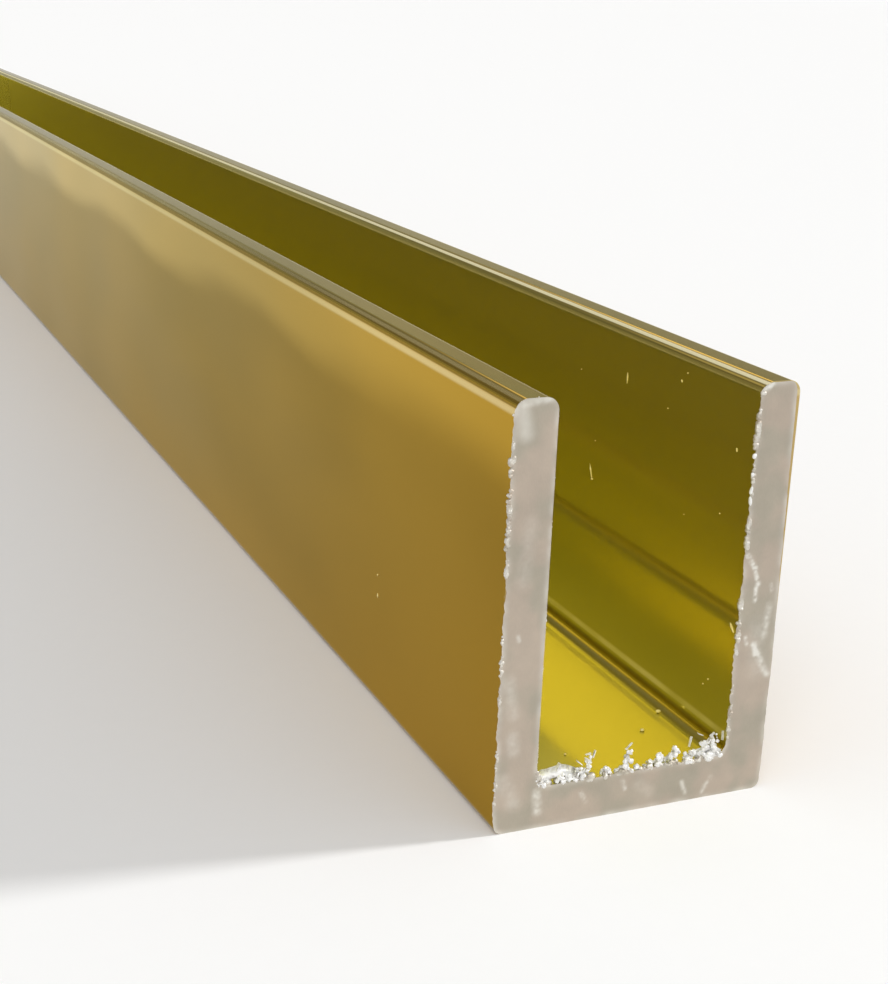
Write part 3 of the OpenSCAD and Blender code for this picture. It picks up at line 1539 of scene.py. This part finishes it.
GOLD_FLECKS = [
    Chip(ChipKind.CRUMB, (4.99, 11.66, 17.45), (0.62, 0.05, 0.05), (0.0, 0.0, 1.0)),
    Chip(ChipKind.CRUMB, (4.99, 14.75, 11.65), (0.85, 0.06, 0.05), (0.0, 0.4, 0.9)),
    Chip(ChipKind.CRUMB, (4.98, 14.57, 11.26), (0.12, 0.12, 0.1)),
    Chip(ChipKind.CRUMB, (4.97, 0.55, 8.25), (0.55, 0.09, 0.08), (0.0, 0.7, 0.7)),
    Chip(ChipKind.CRUMB, (4.99, 6.58, 18.5), (0.15, 0.06, 0.06), (0.0, 0.4, 0.9)),
    Chip(ChipKind.CRUMB, (4.99, 6.12, 18.99), (0.05, 0.07, 0.07)),
    Chip(ChipKind.CRUMB, (4.99, 7.62, 16.9), (0.05, 0.07, 0.06)),
    Chip(ChipKind.CRUMB, (4.99, 1.53, 16.5), (0.2, 0.07, 0.06), (0.0, 0.3, 0.9)),
    Chip(ChipKind.CRUMB, (4.99, 5.4, 12.2), (0.04, 0.05, 0.05)),
    Chip(ChipKind.CRUMB, (4.99, 2.4, 13.2), (0.05, 0.07, 0.07)),
    Chip(ChipKind.CRUMB, (4.99, 2.46, 4.6), (0.06, 0.07, 0.07)),
    Chip(ChipKind.CRUMB, (4.99, 2.08, 5.0), (0.06, 0.07, 0.09)),
    Chip(ChipKind.CRUMB, (4.99, 16.5, 16.8), (0.05, 0.06, 0.06)),
    Chip(ChipKind.CRUMB, (4.99, 14.5, 13.4), (0.05, 0.06, 0.07)),
    Chip(ChipKind.CRUMB, (4.28, 5.06, 2.1), (0.26, 0.2, 0.18)),
    Chip(ChipKind.CRUMB, (2.5, 3.54, 2.06), (0.22, 0.2, 0.14)),
    Chip(ChipKind.CRUMB, (-2.24, 2.48, 2.05), (0.12, 0.12, 0.1)),
    Chip(ChipKind.CRUMB, (-7.0, 14.75, 7.1), (0.12, 0.06, 0.12)),
    Chip(ChipKind.CRUMB, (-7.0, 14.67, 6.0), (0.26, 0.07, 0.12), (0.0, 0.2, 0.9)),
]


@dataclass(frozen=True)
class StripLight:
    """A soft strip of light in the sky behind the channel. Angles are in degrees, azimuth from +Y to +X."""

    azimuth: float
    elevation: float
    half_width: float
    half_height: float
    level: float
    softness: float = 0.3
    warmth: Colour = (1.0, 0.84, 0.7)
    front_only: Pair = (0.0, 0.1)

    def glow(self, g: Graph, direction: Sequence[Wire]) -> Wire:
        """The light that it adds in each direction.

        Args:
            g: The sky's nodes.
            direction: The direction's X, Y and Z.

        Returns:
            The light's colour.
        """
        east, north, up = direction
        turn = math.radians(self.azimuth)
        ahead = east * math.sin(turn) + north * math.cos(turn)
        aside = abs(east * math.cos(turn) - north * math.sin(turn))
        above = abs(up - math.sin(math.radians(self.elevation)))
        glow = g.ramp(ahead, *self.front_only, 0.0, self.level)
        for gap, half in ((aside, self.half_width), (above, self.half_height)):
            edge = math.sin(math.radians(half))
            glow = glow * g.fall(gap, edge * (1 - self.softness), edge * (1 + self.softness))
        return g.scaled(self.warmth, glow)


@dataclass(frozen=True)
class Lamp:
    """A broad soft lamp: where its light comes from, its strength, and its width in degrees."""

    come_from: Triple
    strength: float
    softness: float


@dataclass
class Studio:
    """The pale floor with its sweep, the soft light, and the camera at the photograph's angle."""

    section: Section
    floor_rings: Sequence[float] = (0.4, 2.0)
    floor_radius: float = 14.0
    cove_radius: float = 8.0
    cove_angle: float = 70.0
    rings: int = 24
    spokes: int = 96
    lens: float = 58.85
    near_clip: float = 1 * MM
    camera_offset: Triple = (-35.42 * MM, -57.085 * MM, 35.958 * MM)
    look_down: float = 17.46
    look_right: float = 23.96
    roll: float = 2.325
    mirror_bounces: int = 10
    sky_from: Triple = (-0.3, -0.9, 0.3)
    sky_range: Pair = (-0.7, 0.6)
    sky_levels: Pair = (0.22, 0.75)
    strips: Sequence[StripLight] = (StripLight(38.0, 24.5, 18.0, 4.0, 1.5),
                                    StripLight(-40.0, 20.0, 10.0, 1.6, 0.25),
                                    StripLight(-28.0, 29.5, 9.0, 3.0, 0.5),
                                    StripLight(0.0, 15.0, 60.0, 3.5, 0.2, warmth=(0.9, 1.0, 1.0)))
    lamps: Sequence[Lamp] = (Lamp((0.78, -0.1, 0.62), 1.6, 6.0),
                             Lamp((-0.4, -0.6, 0.7), 0.6, 30.0))

    def floor(self) -> None:
        """A round floor that sweeps up into a low wall."""
        profile = [(radius, 0.0) for radius in (0.0, *self.floor_rings, self.floor_radius)]
        for k in range(1, self.rings + 1):
            angle = math.radians(self.cove_angle) * k / self.rings
            profile.append((self.floor_radius + self.cove_radius * math.sin(angle),
                            self.cove_radius * (1 - math.cos(angle))))
        points = [(0.0, 0.0, 0.0)]
        for radius, height in profile[1:]:
            for k in range(self.spokes):
                angle = 2 * math.pi * k / self.spokes
                points.append((radius * math.cos(angle), radius * math.sin(angle), height))
        faces = []
        for k in range(self.spokes):
            ahead = (k + 1) % self.spokes
            faces.append((0, 1 + k, 1 + ahead))
            for ring in range(len(profile) - 2):
                low = 1 + ring * self.spokes
                high = low + self.spokes
                faces.append((low + k, high + k, high + ahead, low + ahead))
        floor = new_piece("studio_floor", new_mesh("studio_floor", points, (), faces))
        floor.data.polygons.foreach_set("use_smooth", [True] * len(faces))
        floor.data.materials.append(StudioPaper().material())

    def light(self) -> None:
        """A soft sky, brighter at the front left, with strips of light behind, and the soft lamps."""
        world = bpy.data.worlds.new("studio_sky")
        world.use_nodes = True
        bpy.context.scene.world = world
        g = Graph(world.node_tree)
        backdrop = next(n for n in world.node_tree.nodes if n.type == "BACKGROUND")
        towards = g.node("ShaderNodeTexCoord", None, None, "Generated")
        nearness = g.node("ShaderNodeVectorMath", {"operation": "DOT_PRODUCT"},
                          {0: towards, 1: tuple(Vector(self.sky_from).normalized())}, "Value")
        colour = g.scaled((1.0, 1.0, 1.0), g.ramp(nearness, *self.sky_range, *self.sky_levels))
        direction = [g.node("ShaderNodeSeparateXYZ", None, {"Vector": towards}, axis) for axis in "XYZ"]
        for strip in self.strips:
            glow = strip.glow(g, direction)
            colour = g.node("ShaderNodeVectorMath", {"operation": "ADD"}, {0: colour, 1: glow})
        g.feed(backdrop.inputs["Color"], colour)
        for lamp in self.lamps:
            data = bpy.data.lights.new("soft_lamp", "SUN")
            data.energy = lamp.strength
            data.angle = math.radians(lamp.softness)
            holder = bpy.data.objects.new("soft_lamp", data)
            holder.rotation_euler = Vector(lamp.come_from).to_track_quat("Z", "Y").to_euler()
            bpy.context.scene.collection.objects.link(holder)

    def camera(self) -> None:
        """Stands the camera where the photograph was taken."""
        data = bpy.data.cameras.new("camera")
        data.lens = self.lens
        data.clip_start = self.near_clip
        camera = bpy.data.objects.new("camera", data)
        turn = (Matrix.Rotation(math.radians(-self.look_right), 4, "Z")
                @ Matrix.Rotation(math.radians(90 - self.look_down), 4, "X")
                @ Matrix.Rotation(math.radians(self.roll), 4, "Z"))
        near_end = Vector((0.0, -self.section.length / 2, 0.0))
        camera.matrix_world = Matrix.Translation(near_end + Vector(self.camera_offset)) @ turn
        bpy.context.scene.collection.objects.link(camera)
        bpy.context.scene.camera = camera

    def build(self) -> None:
        """Sets up the whole studio."""
        scene = bpy.context.scene
        scene.view_settings.view_transform = "Standard"
        scene.cycles.glossy_bounces = self.mirror_bounces
        self.floor()
        self.light()
        self.camera()


def main() -> None:
    """Builds the studio and the channel's pieces in order, and reports each piece."""
    logging.basicConfig(level=logging.INFO, format="%(message)s")
    section = Section.of_node(NODE)
    Studio(section).build()
    sawn = SawnAluminium().material()
    bright = BrightChip().material()
    gold = GOLD_LIT_CHIP.material()
    pieces = [
        ChannelBody(section).build(),
        SawnEnd(section, End.NEAR, NEAR_LIPS, NEAR_STREAKS, sawn).build(),
        SawnEnd(section, End.FAR, FAR_LIPS, FAR_STREAKS, sawn).build(),
        EdgeBurr(section, sawn, NEAR_BURRS).build(),
        Swarf(section, bright, HEAPS).build(),
        LooseChips("loose_chips", section, bright, LOOSE_CHIPS).build(),
        LooseChips("gold_flecks", section, gold, GOLD_FLECKS).build(),
    ]
    for piece in pieces:
        LOG.info("%s: %d faces", piece.name, len(piece.data.polygons))


if __name__ == "__main__":
    main()
